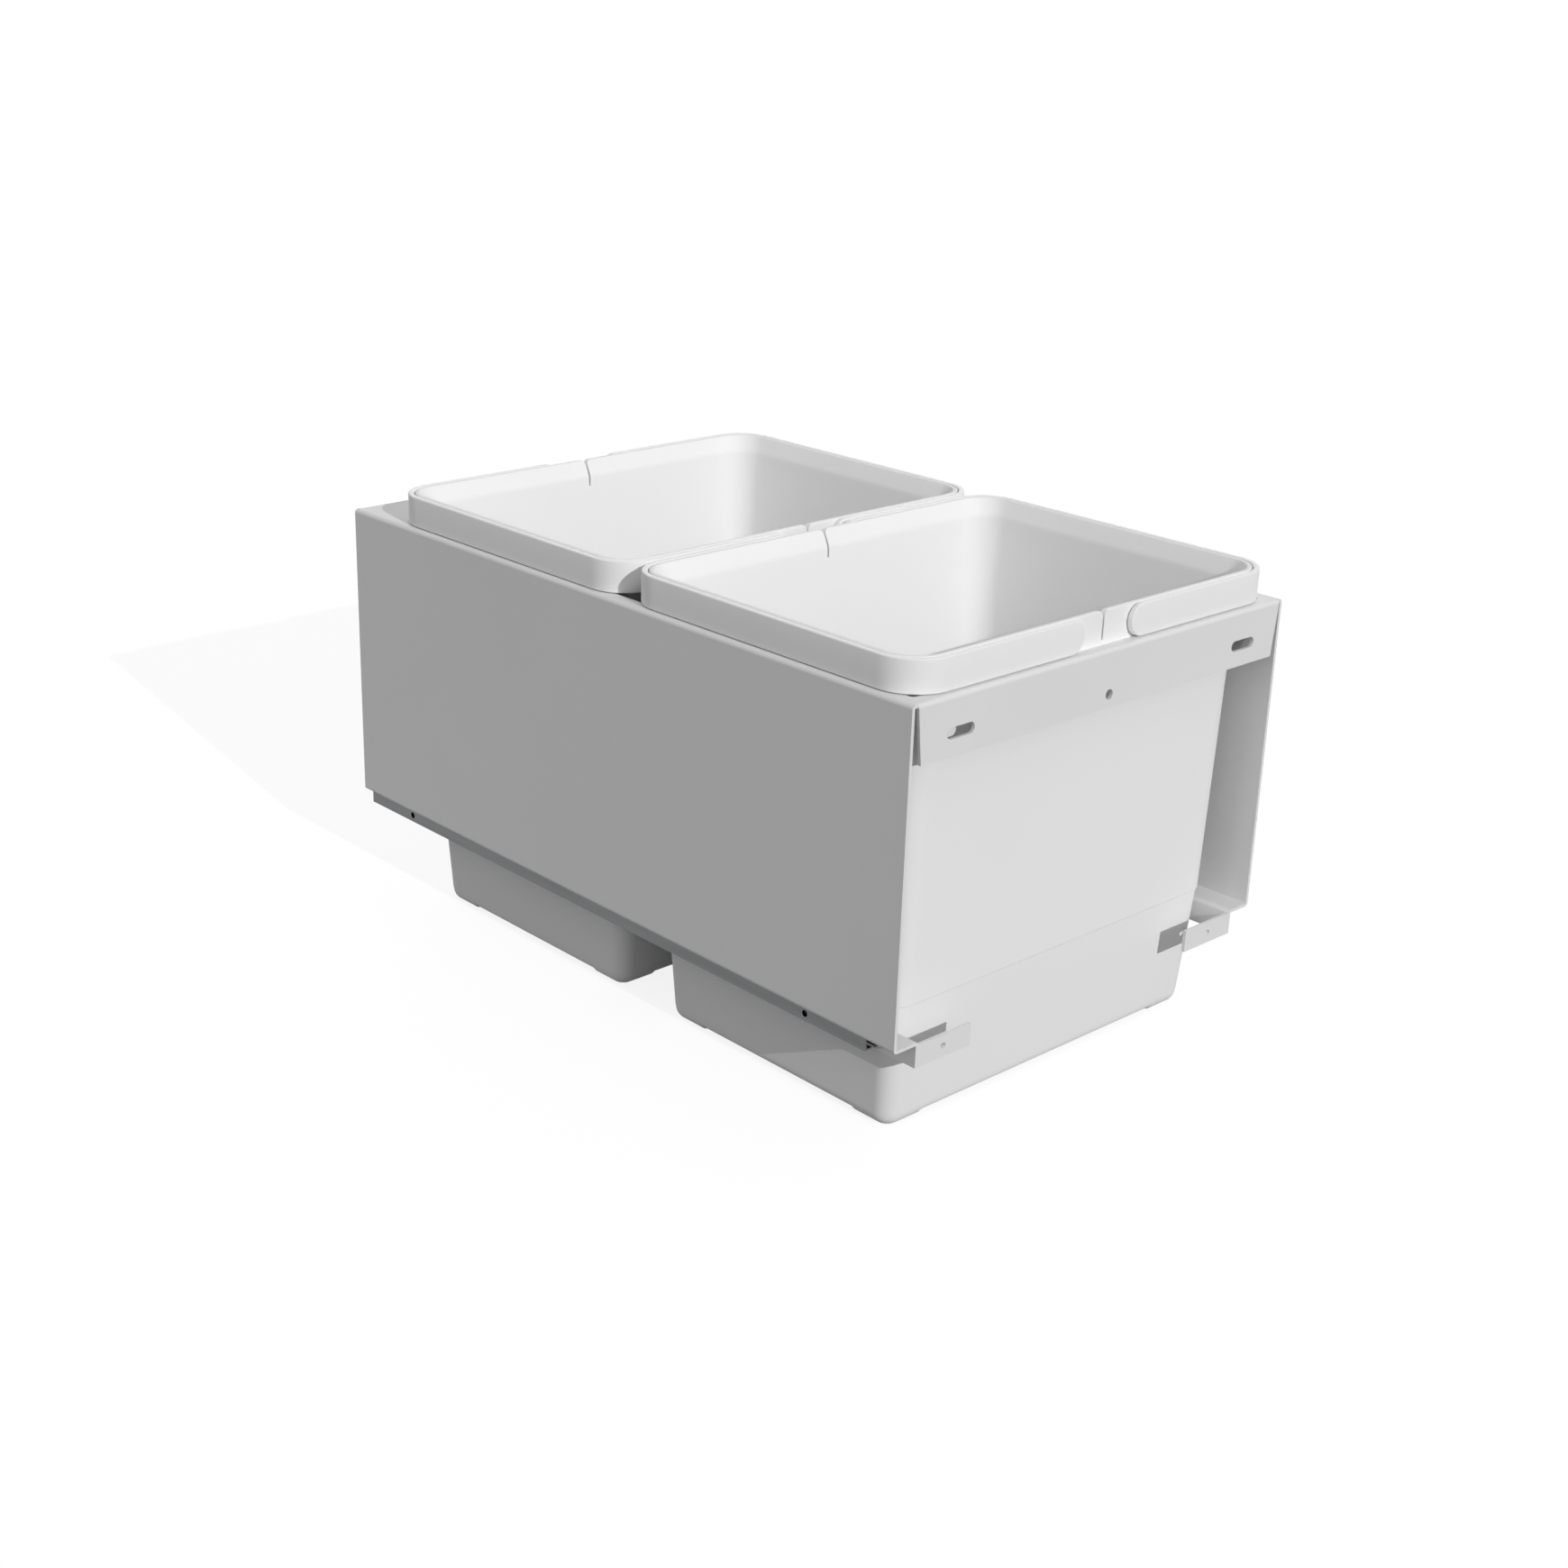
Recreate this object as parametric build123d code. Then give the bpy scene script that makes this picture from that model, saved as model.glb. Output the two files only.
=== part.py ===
from build123d import *
import os

os.makedirs("parts", exist_ok=True)

# Pull-out waste carrier for a 350 mm kitchen cabinet: a folded steel frame on two
# slim ball runners, with two lift-out bins that each have a pair of hoop handles.
# Millimetres. +X to the right, -Y to the front, +Z up. The origin is midway between
# the sides and midway front to back, level with the feet of the bins.

# ---- driving dimensions: frame ----
frame_width = 314.0
frame_depth = 510.0
frame_height = 198.0
bin_drop = 67.0            # how far the bins hang below the side panels
sheet = 2.0
bend_inner = 0.5
panel_setback = 1.0        # side panels' front and rear edges behind the flange faces
flange_height = 34.0
flange_slit_top = 2.0      # gap between a flange's end and the side panel, at the deck
flange_slit_bottom = 5.6   # and at the flange's lower edge
foot_width = 17.2          # inward flange under each side panel
foot_drop = 13.8           # flange turned down from it
tab_width = 44.0
tab_hole_radius = 1.75
slot_length = 21.0
slot_height = 6.5
slot_spacing = 241.0
slot_below_deck = 21.0
centre_hole_radius = 3.0
centre_hole_below_deck = 26.5

# ---- driving dimensions: bins and their hoop handles ----
side_strip = 3.5           # deck showing beside a hoop
front_strip = 3.9          # from the front flange's face to the front hoop
rear_strip = 40.3          # deck showing behind the rear bin
bin_gap = 2.2              # between the hoops of the two bins
hoop_height = 19.2
hoop_thickness = 3.6
hoop_corner_radius = 26.2
hoop_above_deck = 0.6
hoop_end_from_middle = 20.0
hoop_edge_round = 0.8
hoop_gap = 0.8             # hoop to collar, so that the swinging bar clears it
stud_radius = 3.5
stud_reach = 1.4           # stud inside its socket
stud_clearance = 0.08
socket_end_gap = 0.2
skirt_wall = 2.6           # outer wall of the turned-over rim
rim_land = 2.9             # from the skirt's face to the top of the inner slant
rim_round = 0.9
slant_height = 10.4        # sloping band inside the rim
slant_round = 8.0
hollow_below_rim = 6.6     # top of the hollow under the turned-over rim
wall = 2.5
seat_overlap = 1.9         # skirt resting on the deck round the opening
fit_clearance = 0.7        # ribs' outer edges inside the opening
rib_thickness = 1.6
rib_below_deck = 5.0
rib_above_deck = 8.0
rib_slope = 3.5
rib_x_places = [-100.0, -50.0, 50.0, 100.0]
rib_y_places = [-62.0, 0.0, 62.0]
body_inset = 5.6           # the body is that much inside the skirt at the deck
draft = 0.03125            # body, per mm of height
base_draft_across = 0.06   # below the step
base_draft_along = 0.076
step_height = 79.6         # step line above the feet
step_inset = 0.8
body_corner_radius = 20.0
base_corner_radius = 10.0
base_round = 8.5
foot_pad_length = 28.0
foot_pad_height = 3.0
opening_corner_radius = 2.5
notch_shoulder_radius = 3.6
notch_slit_width = 1.4
notch_depth = 17.0

# ---- driving dimensions: runners ----
runner_setback = 27.0      # runner's front end behind the front flange
runner_end_gap = 3.0       # runner's rear end in front of the rear flange
runner_drop = 0.8          # runner below the inward flange
runner_height = 9.0
rail_wall = 1.2
channel_lip = 4.0          # lip of a channel beyond its web
channel_gap = 1.8          # between the two channels' lips
head_gap = 1.2             # web of a channel to the middle rail's head
head_length = 2.8
head_height = 3.4
middle_web = 1.6
ball_radius = 1.0
ball_clearance = 0.05
ball_pitch = 30.0
balls_per_row = 8
cage_wall = 0.5
cage_edge = 5.0
buffer_length = 6.0
buffer_gap = 0.3
rivet_radius = 1.6
rivet_clearance = 0.05
rivet_head_radius = 2.8
rivet_spacing = 140.0
rivets_per_rail = 4
rail_hole_radius = 2.1
rail_hole_spacing = 384.0
rail_countersink_radius = 3.2

# ---- derived places: frame ----
bend_outer = bend_inner + sheet
half_width = frame_width / 2
half_depth = frame_depth / 2
base_z = bin_drop
deck_z = base_z + frame_height
panel_y = half_depth - panel_setback
foot_x = half_width - foot_width

# ---- derived places: bins and hoops ----
hoop_half_width = half_width - side_strip
hoop_half_depth = (frame_depth - front_strip - rear_strip - bin_gap) / 4
front_bin_y = -half_depth + front_strip + hoop_half_depth
rear_bin_y = front_bin_y + 2 * hoop_half_depth + bin_gap
collar_inset = hoop_thickness + hoop_gap
collar_half_width = hoop_half_width - collar_inset
collar_half_depth = hoop_half_depth - collar_inset
collar_radius = hoop_corner_radius - collar_inset
hoop_bottom_z = deck_z + hoop_above_deck
rim_z = hoop_bottom_z + hoop_height
pivot_z = hoop_bottom_z + hoop_height / 2
pivot_x = hoop_end_from_middle + hoop_height / 2
opening_half_width = collar_half_width - seat_overlap
opening_front_y = front_bin_y - collar_half_depth + seat_overlap
opening_rear_y = rear_bin_y + collar_half_depth - seat_overlap

# ---- derived places: runner, measured outwards from the turned-down flange ----
runner_top_z = base_z - runner_drop
runner_mid_z = runner_top_z - runner_height / 2
runner_front_y = -half_depth + runner_setback
runner_rear_y = half_depth - runner_end_gap
channel_depth = rail_wall + channel_lip
outer_channel_start = channel_depth + channel_gap
runner_width = outer_channel_start + channel_depth
head_start = rail_wall + head_gap
middle_front_y = runner_front_y + buffer_length + buffer_gap
middle_rear_y = runner_rear_y - buffer_length - buffer_gap
lip_z = runner_height / 2 - rail_wall
ball_z = (lip_z + head_height / 2) / 2
ball_offset = head_start + head_length / 2
ball_row_length = (balls_per_row - 1) * ball_pitch
cage_length = ball_row_length + 2 * cage_edge
runner_mid_y = (runner_front_y + runner_rear_y) / 2


def offset_corner(before, corner, after, distance):
    """Corner of the other face of the sheet, which lies to the right of the path."""
    first = (corner - before).normalized()
    second = (after - corner).normalized()
    right_first = Vector(first.Y, -first.X)
    right_second = Vector(second.Y, -second.X)
    shift = (right_first + right_second) * (distance / (1 + right_first.dot(right_second)))
    return corner + shift


def folded_section(points):
    """Closed outline of a bent sheet, from the corners of its outer face."""
    path = [Vector(*point) for point in points]
    inner = [offset_corner(*path[i - 1:i + 2], sheet) for i in range(1, len(path) - 1)]
    start_side = (path[1] - path[0]).normalized()
    end_side = (path[-1] - path[-2]).normalized()
    inner.insert(0, path[0] + Vector(start_side.Y, -start_side.X) * sheet)
    inner.append(path[-1] + Vector(end_side.Y, -end_side.X) * sheet)
    outer_radii = []
    inner_radii = []
    for i in range(1, len(path) - 1):
        turn = (path[i] - path[i - 1]).cross(path[i + 1] - path[i]).Z
        outer_radii.append(bend_outer if turn < 0 else bend_inner)
        inner_radii.append(bend_inner if turn < 0 else bend_outer)
    outline = [
        FilletPolyline(*path, radius=outer_radii),
        Line(path[-1], inner[-1]),
        FilletPolyline(*inner, radius=inner_radii),
        Line(inner[0], path[0]),
    ]
    return make_face(outline)


def slot_cutter(x, z, length, height):
    profile = Pos(x, z) * SlotOverall(length, height)
    return extrude(Plane.XZ * profile, frame_depth, both=True)


def flange(front):
    """Front or rear lip of the deck, turned down, with tapered slits at its ends."""
    overlap = 12.0
    section = folded_section([
        (-half_depth + overlap, deck_z),
        (-half_depth, deck_z),
        (-half_depth, deck_z - flange_height),
    ][::-1])
    half_top = half_width - sheet - flange_slit_top
    half_bottom = half_width - sheet - flange_slit_bottom
    lip = extrude(Plane.YZ * section, half_top, both=True)
    outline = Polyline(
        (-half_top, deck_z + sheet),
        (-half_top, deck_z - bend_outer),
        (-half_bottom, deck_z - flange_height - sheet),
        (half_bottom, deck_z - flange_height - sheet),
        (half_top, deck_z - bend_outer),
        (half_top, deck_z + sheet),
        close=True,
    )
    lip &= extrude(Plane.XZ * make_face(outline), frame_depth, both=True)
    if front:
        slot_z = deck_z - slot_below_deck
        for side in (-1, 1):
            lip -= slot_cutter(side * slot_spacing / 2, slot_z, slot_length, slot_height)
        hole = Pos(0, deck_z - centre_hole_below_deck) * Circle(centre_hole_radius)
        lip -= extrude(Plane.XZ * hole, frame_depth, both=True)
        return lip
    return mirror(lip, Plane.XZ)


def front_tab(side):
    """Tab turned inwards from the front end of a turned-down flange."""
    section = folded_section([
        (side * foot_x, -panel_y + 4 * bend_outer),
        (side * foot_x, -panel_y),
        (side * (foot_x - tab_width), -panel_y),
    ][::side])
    tab = extrude(Pos(0, 0, base_z - foot_drop) * section, foot_drop)
    hole = Pos(side * (foot_x - tab_width / 2), base_z - foot_drop / 2) * Circle(tab_hole_radius)
    return tab - extrude(Plane.XZ * hole, frame_depth, both=True)


def rivet_places():
    first = runner_mid_y - rivet_spacing * (rivets_per_rail - 1) / 2
    return [first + i * rivet_spacing for i in range(rivets_per_rail)]


def rivet(side, y, clearance):
    """Flush rivet through the turned-down flange and the drawer rail's web."""
    inner_x = foot_x - sheet
    head_drop = rivet_head_radius - rivet_radius
    radius = rivet_radius + clearance
    shank = Cylinder(radius, sheet + rail_wall, align=(Align.CENTER, Align.CENTER, Align.MIN))
    head = Cone(
        rivet_head_radius + clearance,
        radius,
        head_drop,
        align=(Align.CENTER, Align.CENTER, Align.MIN),
    )
    body = Rot(0, 90, 0) * (shank + head)
    body = Pos(inner_x, y, runner_mid_z) * body
    return body if side > 0 else mirror(body, Plane.YZ)


def build_frame():
    section = folded_section([
        (-foot_x, base_z - foot_drop),
        (-foot_x, base_z),
        (-half_width, base_z),
        (-half_width, deck_z),
        (half_width, deck_z),
        (half_width, base_z),
        (foot_x, base_z),
        (foot_x, base_z - foot_drop),
    ])
    frame = extrude(Plane.XZ * section, panel_y, both=True)
    lip_width = frame_width - 2 * (sheet + flange_slit_top)
    lip_relief = half_depth - bend_outer
    for end in (-1, 1):
        corner = Pos(0, end * (lip_relief + bend_outer / 2), deck_z)
        frame -= corner * Box(lip_width, bend_outer, 3 * sheet)
    frame += flange(True)
    frame += flange(False)
    for side in (-1, 1):
        frame += front_tab(side)
    opening_depth = opening_rear_y - opening_front_y
    opening = Pos(0, (opening_front_y + opening_rear_y) / 2, deck_z - 2 * sheet)
    opening *= RectangleRounded(2 * opening_half_width, opening_depth, opening_corner_radius)
    frame -= extrude(opening, 4 * sheet)
    for side in (-1, 1):
        for y in rivet_places():
            frame -= rivet(side, y, rivet_clearance)
    return frame


def rounded(half_x, half_y, radius, z):
    return Pos(0, 0, z) * RectangleRounded(2 * half_x, 2 * half_y, radius)


def lofted(levels):
    """Tapered body through rounded rectangles: (height, insets across and along, radius)."""
    sections = []
    for z, across_inset, along_inset, radius in levels:
        half_x = collar_half_width - across_inset
        half_y = collar_half_depth - along_inset
        sections.append(rounded(half_x, half_y, radius, z).face())
    return loft(sections, ruled=True)


def outside_levels():
    """Outside of a bin's wall, from the feet up to the slant behind the skirt."""
    slant_z = rim_z - slant_height
    above_step = body_inset + draft * (deck_z - step_height)
    below_step = above_step + step_inset
    below_span = step_height - step_inset
    step_radius = base_corner_radius + (body_corner_radius - base_corner_radius) * step_height / deck_z
    slope = (body_inset + wall - rim_land) / slant_height
    hollow_inset = rim_land + slope * hollow_below_rim - wall * (1 + slope ** 2) ** 0.5
    slant_inset = body_inset - draft * (slant_z - deck_z)
    base_across = below_step + base_draft_across * below_span
    base_along = below_step + base_draft_along * below_span
    hollow_radius = collar_radius - hollow_inset
    return [
        (0, base_across, base_along, base_corner_radius),
        (below_span, below_step, below_step, step_radius - step_inset),
        (step_height, above_step, above_step, step_radius),
        (deck_z, body_inset, body_inset, body_corner_radius),
        (slant_z, slant_inset, slant_inset, body_corner_radius),
        (rim_z - hollow_below_rim, hollow_inset, hollow_inset, hollow_radius),
    ]


def inside_levels():
    """Inside of a bin, one wall in from the outside, slanting out to the rim."""
    inside = [
        (z, across_inset + wall, along_inset + wall, radius - wall)
        for z, across_inset, along_inset, radius in outside_levels()[:5]
    ]
    floor_z = wall + foot_pad_height
    _, across_inset, along_inset, radius = inside[0]
    across_inset -= base_draft_across * floor_z
    along_inset -= base_draft_along * floor_z
    inside[0] = (floor_z, across_inset, along_inset, radius)
    inside.append((rim_z, rim_land, rim_land, collar_radius - rim_land))
    return inside


def rim_notch():
    """Notch in the middle of the front and back rim: rounded shoulders over a slit."""
    shoulder = notch_shoulder_radius
    half_top = notch_slit_width / 2 + shoulder
    mouth = Pos(0, rim_z - shoulder / 2 + sheet / 2) * Rectangle(2 * half_top, shoulder + sheet)
    for side in (-1, 1):
        mouth -= Pos(side * half_top, rim_z - shoulder) * Circle(shoulder)
        mouth -= Pos(side * half_top, rim_z + shoulder) * Rectangle(shoulder / 2, 2 * shoulder)
    slit = Pos(0, rim_z - notch_depth / 2) * Rectangle(notch_slit_width, notch_depth)
    return extrude(Plane.XZ * (mouth + slit), 2 * collar_half_depth, both=True)


def locating_ribs():
    """Ribs behind the skirt, whose outer edges centre the bin in the deck's opening."""
    edge = seat_overlap + fit_clearance
    root = body_inset + wall / 2
    outline = Polyline(
        (-edge, deck_z + rib_above_deck),
        (-edge, deck_z - rib_below_deck),
        (-root - draft * rib_below_deck, deck_z - rib_below_deck - rib_slope),
        (-root, deck_z + rib_above_deck),
        close=True,
    )
    profile = make_face(outline)
    across_rib = extrude(Plane.XZ * profile, rib_thickness / 2, both=True)
    along_rib = extrude(Plane.YZ * profile, rib_thickness / 2, both=True)
    ribs = []
    for y in rib_y_places:
        rib = Pos(collar_half_width, y, 0) * across_rib
        ribs += [rib, mirror(rib, Plane.YZ)]
    for x in rib_x_places:
        rib = Pos(x, collar_half_depth, 0) * along_rib
        ribs += [rib, mirror(rib, Plane.XZ)]
    return ribs


def build_bin():
    """One bin about its own middle; both bins are the same moulding."""
    body = lofted(outside_levels())
    base_edges = body.faces().sort_by(Axis.Z)[0].edges()
    body = fillet(base_edges, base_round)
    skirt = extrude(rounded(collar_half_width, collar_half_depth, collar_radius, deck_z), rim_z - deck_z)
    inner_x = collar_half_width - skirt_wall
    inner_y = collar_half_depth - skirt_wall
    hollow = rounded(inner_x, inner_y, collar_radius - skirt_wall, deck_z)
    skirt -= extrude(hollow, rim_z - hollow_below_rim - deck_z)
    body += skirt
    for rib in locating_ribs():
        body += rib
    cavity = lofted(inside_levels())
    floor_edges = cavity.faces().sort_by(Axis.Z)[0].edges()
    cavity = fillet(floor_edges, base_round - wall)
    slant_z = rim_z - slant_height
    slant_edges = cavity.edges().filter_by_position(Axis.Z, slant_z - 0.01, slant_z + 0.01)
    cavity = fillet(slant_edges, slant_round)
    body -= cavity
    rim_edges = body.edges().filter_by_position(Axis.Z, rim_z - 0.01, rim_z + 0.01)
    body = fillet(rim_edges, rim_round)
    lowest = outside_levels()[0]
    base_half_width = collar_half_width - lowest[1]
    base_half_depth = collar_half_depth - lowest[2]
    low = (Align.CENTER, Align.CENTER, Align.MIN)
    across_gap = 2 * (base_half_width - foot_pad_length)
    along_gap = 2 * (base_half_depth - foot_pad_length)
    body -= Box(across_gap, frame_width, foot_pad_height, align=low)
    body -= Box(frame_width, along_gap, foot_pad_height, align=low)
    body -= rim_notch()
    for side in (-1, 1):
        for end in (-1, 1):
            body -= stud(side, end, stud_clearance, socket_end_gap)
    return body


def stud(side, end, clearance, extra):
    """Pivot stud of a hoop, or with its clearance the socket for it in the collar."""
    inner_y = collar_half_depth - stud_reach - extra
    outer_y = hoop_half_depth - hoop_thickness / 2 if not clearance else collar_half_depth
    length = outer_y - inner_y
    pin = Rot(90, 0, 0) * Cylinder(stud_radius + clearance, length)
    return Pos(side * pivot_x, end * (inner_y + length / 2), pivot_z) * pin


def build_hoop(side):
    """U-shaped band round one half of the collar, with half-round ends."""
    outer = rounded(hoop_half_width, hoop_half_depth, hoop_corner_radius, hoop_bottom_z)
    inner = rounded(
        hoop_half_width - hoop_thickness,
        hoop_half_depth - hoop_thickness,
        hoop_corner_radius - hoop_thickness,
        hoop_bottom_z,
    )
    keep = Pos(side * (pivot_x + half_width / 2), 0, hoop_bottom_z) * Rectangle(half_width, frame_depth)
    hoop = extrude((outer - inner) & keep, hoop_height)
    arm_y = hoop_half_depth - hoop_thickness / 2
    for end in (-1, 1):
        disc = Rot(90, 0, 0) * Cylinder(hoop_height / 2, hoop_thickness)
        hoop += Pos(side * pivot_x, end * arm_y, pivot_z) * disc
    hoop = fillet(hoop.edges().filter_by(lambda edge: edge_on_face(edge)), hoop_edge_round)
    for end in (-1, 1):
        hoop += stud(side, end, 0, 0)
    return hoop


def edge_on_face(edge):
    """True for the long edges of a hoop: its top, its bottom and its rounded ends."""
    middle = edge.position_at(0.5)
    return abs(middle.Z - pivot_z) > 0.4 * hoop_height or abs(middle.X) < pivot_x


def across(offset, length, side):
    """X of the middle of a stretch that starts at offset outside the turned-down flange."""
    return side * (foot_x + offset + length / 2)


def rail_block(side, offset, length, height, front_y, rear_y, z=0.0):
    place = Pos(across(offset, length, side), (front_y + rear_y) / 2, runner_mid_z + z)
    return place * Box(length, rear_y - front_y, height)


def raceway(side, offset, front_y, rear_y, z):
    """Round groove in which a row of balls runs."""
    groove = Rot(90, 0, 0) * Cylinder(ball_radius + ball_clearance, rear_y - front_y)
    return Pos(side * (foot_x + offset), (front_y + rear_y) / 2, runner_mid_z + z) * groove


def channel(side, web_offset, lip_offset, ball_x):
    """C-shaped rail: a web with two lips, each grooved for a row of balls."""
    ends = (runner_front_y, runner_rear_y)
    rail = rail_block(side, web_offset, rail_wall, runner_height, *ends)
    for up in (-1, 1):
        lip = rail_block(side, lip_offset, channel_lip, rail_wall, *ends, up * (lip_z + rail_wall / 2))
        rail += lip
        rail -= raceway(side, ball_x, *ends, up * ball_z)
    return rail


def build_drawer_rail(side):
    rail = channel(side, 0, rail_wall, ball_offset)
    for y in rivet_places():
        rail -= rivet(side, y, rivet_clearance)
    return rail


def build_cabinet_rail(side):
    rail = channel(side, runner_width - rail_wall, outer_channel_start, runner_width - ball_offset)
    sink = rail_countersink_radius - rail_hole_radius
    start = foot_x + runner_width - rail_wall
    low = (Align.CENTER, Align.CENTER, Align.MIN)
    for end in (-1, 1):
        hole = Cylinder(rail_hole_radius, rail_wall, align=low)
        hole += Cone(rail_countersink_radius, rail_hole_radius, sink, align=low)
        hole = Pos(start, runner_mid_y + end * rail_hole_spacing / 2, runner_mid_z) * Rot(0, 90, 0) * hole
        rail -= hole if side > 0 else mirror(hole, Plane.YZ)
    return rail


def build_middle_rail(side):
    """Flat bar with a thick head in each channel, grooved for the balls."""
    ends = (middle_front_y, middle_rear_y)
    span = runner_width - 2 * head_start
    rail = rail_block(side, head_start, span, middle_web, *ends)
    for offset in (head_start, runner_width - head_start - head_length):
        rail += rail_block(side, offset, head_length, head_height, *ends)
    for ball_x in (ball_offset, runner_width - ball_offset):
        for up in (-1, 1):
            rail -= raceway(side, ball_x, *ends, up * ball_z)
    return rail


def ball_places():
    first = runner_mid_y - ball_row_length / 2
    return [first + i * ball_pitch for i in range(balls_per_row)]


def build_balls(side, ball_x):
    """Two rows of balls, above and below one head of the middle rail."""
    x = side * (foot_x + ball_x)
    balls = []
    for y in ball_places():
        for up in (-1, 1):
            balls.append(Pos(x, y, runner_mid_z + up * ball_z) * Sphere(ball_radius))
    return Compound(children=balls)


def build_cage(side, ball_x, web_offset):
    """Strip bent round a head of the middle rail, with a hole for each ball."""
    front_y = runner_mid_y - cage_length / 2
    rear_y = runner_mid_y + cage_length / 2
    reach = abs(ball_x - web_offset - cage_wall / 2) + cage_wall / 2 + 1.6 * ball_radius
    inward = 1 if ball_x > web_offset else -1
    strip_offset = web_offset if inward > 0 else web_offset + cage_wall - reach
    height = 2 * ball_z + cage_wall
    cage = rail_block(side, web_offset, cage_wall, height, front_y, rear_y)
    for up in (-1, 1):
        cage += rail_block(side, strip_offset, reach, cage_wall, front_y, rear_y, up * ball_z)
    x = side * (foot_x + ball_x)
    hole_radius = ball_radius + ball_clearance
    for y in ball_places():
        cage -= Pos(x, y, runner_mid_z) * Cylinder(hole_radius, runner_height)
    return cage


def build_buffer(side, offset, front_y):
    """Rubber stop that fills the end of a channel."""
    return rail_block(side, offset, channel_lip, 2 * lip_z, front_y, front_y + buffer_length)


def build_rivets(side):
    return Compound(children=[rivet(side, y, 0) for y in rivet_places()])


nodes = {"frame": build_frame()}

bin_shape = build_bin()
for name, y in (("front_bin", front_bin_y), ("rear_bin", rear_bin_y)):
    nodes[name] = Pos(0, y, 0) * bin_shape
    for hand, side in (("left", -1), ("right", 1)):
        nodes[name + "_" + hand + "_hoop"] = Pos(0, y, 0) * build_hoop(side)

cage_web = rail_wall + (head_gap - cage_wall) / 2
for hand, side in (("left", -1), ("right", 1)):
    far_ball = runner_width - ball_offset
    far_web = runner_width - cage_web - cage_wall
    nodes["drawer_rail_" + hand] = build_drawer_rail(side)
    nodes["middle_rail_" + hand] = build_middle_rail(side)
    nodes["cabinet_rail_" + hand] = build_cabinet_rail(side)
    nodes["inner_cage_" + hand] = build_cage(side, ball_offset, cage_web)
    nodes["outer_cage_" + hand] = build_cage(side, far_ball, far_web)
    nodes["inner_balls_" + hand] = build_balls(side, ball_offset)
    nodes["outer_balls_" + hand] = build_balls(side, far_ball)
    nodes["front_buffer_" + hand] = build_buffer(side, rail_wall, runner_front_y)
    nodes["rear_buffer_" + hand] = build_buffer(side, outer_channel_start, runner_rear_y - buffer_length)
    nodes["rail_rivets_" + hand] = build_rivets(side)

for name, shape in nodes.items():
    export_step(shape, "parts/" + name + ".step")
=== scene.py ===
import bpy
import math
from mathutils import Matrix, Vector


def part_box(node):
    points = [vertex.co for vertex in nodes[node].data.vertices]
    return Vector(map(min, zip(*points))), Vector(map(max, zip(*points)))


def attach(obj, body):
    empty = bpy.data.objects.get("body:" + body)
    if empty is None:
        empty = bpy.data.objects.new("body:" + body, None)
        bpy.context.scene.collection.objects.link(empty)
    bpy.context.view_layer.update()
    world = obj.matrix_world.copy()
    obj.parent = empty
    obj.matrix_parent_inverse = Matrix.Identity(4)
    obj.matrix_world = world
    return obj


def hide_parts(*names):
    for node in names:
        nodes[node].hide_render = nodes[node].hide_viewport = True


# White pull-out carrier with two lift-out bins.
# Metres. X to the right, -Y to the front, Z up, the feet of the bins at Z 0.

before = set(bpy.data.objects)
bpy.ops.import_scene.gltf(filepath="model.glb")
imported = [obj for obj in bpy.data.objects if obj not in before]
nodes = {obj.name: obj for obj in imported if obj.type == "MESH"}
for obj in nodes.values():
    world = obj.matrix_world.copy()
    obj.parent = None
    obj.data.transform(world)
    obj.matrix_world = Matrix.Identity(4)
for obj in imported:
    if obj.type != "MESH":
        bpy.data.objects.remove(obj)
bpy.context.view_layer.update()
scene = bpy.context.scene
weldDistance = 0.000002
pinSides = 32  # of the hoops' studs and their sockets
noTurn = (0, 0, 0)
print("frame loaded:", len(nodes), "nodes")


class Field:
    # a node socket that can be added, scaled and compared like a number
    def __init__(self, tree, socket):
        self.tree = tree
        self.socket = socket

    def math(self, operation, *others):
        node = self.tree.nodes.new("ShaderNodeMath")
        node.operation = operation
        for place, value in enumerate((self, *others)):
            feed(self.tree, node.inputs[place], value)
        return Field(self.tree, node.outputs[0])

    def __add__(self, other):
        return self.math("ADD", other)

    def __sub__(self, other):
        return self.math("SUBTRACT", other)

    def __mul__(self, other):
        return self.math("MULTIPLY", other)

    def __truediv__(self, other):
        return self.math("DIVIDE", other)

    def __rsub__(self, other):
        return self.math("MULTIPLY_ADD", -1.0, other)

    __radd__ = __add__
    __rmul__ = __mul__

    def cos(self):
        return self.math("COSINE")

    def sin(self):
        return self.math("SINE")

    def floor(self):
        return self.math("FLOOR")

    def sign(self):
        return self.math("SIGN")

    def limit(self, low, high):
        return self.math("MAXIMUM", low).math("MINIMUM", high)

    def over(self, other):
        return self.math("GREATER_THAN", other)


def feed(tree, socket, value):
    value = getattr(value, "socket", value)
    if isinstance(value, bpy.types.NodeSocket):
        tree.links.new(value, socket)
    else:
        socket.default_value = value


def addNode(tree, kind, inputs=None, **settings):
    node = tree.nodes.new(kind)
    for key, value in settings.items():
        setattr(node, key, value)
    for key, value in (inputs or {}).items():
        feed(tree, node.inputs[key], value)
    return node


def made(tree, kind, inputs=None, **settings):
    # the first output of a new node
    return addNode(tree, kind, inputs, **settings).outputs[0]


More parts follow.
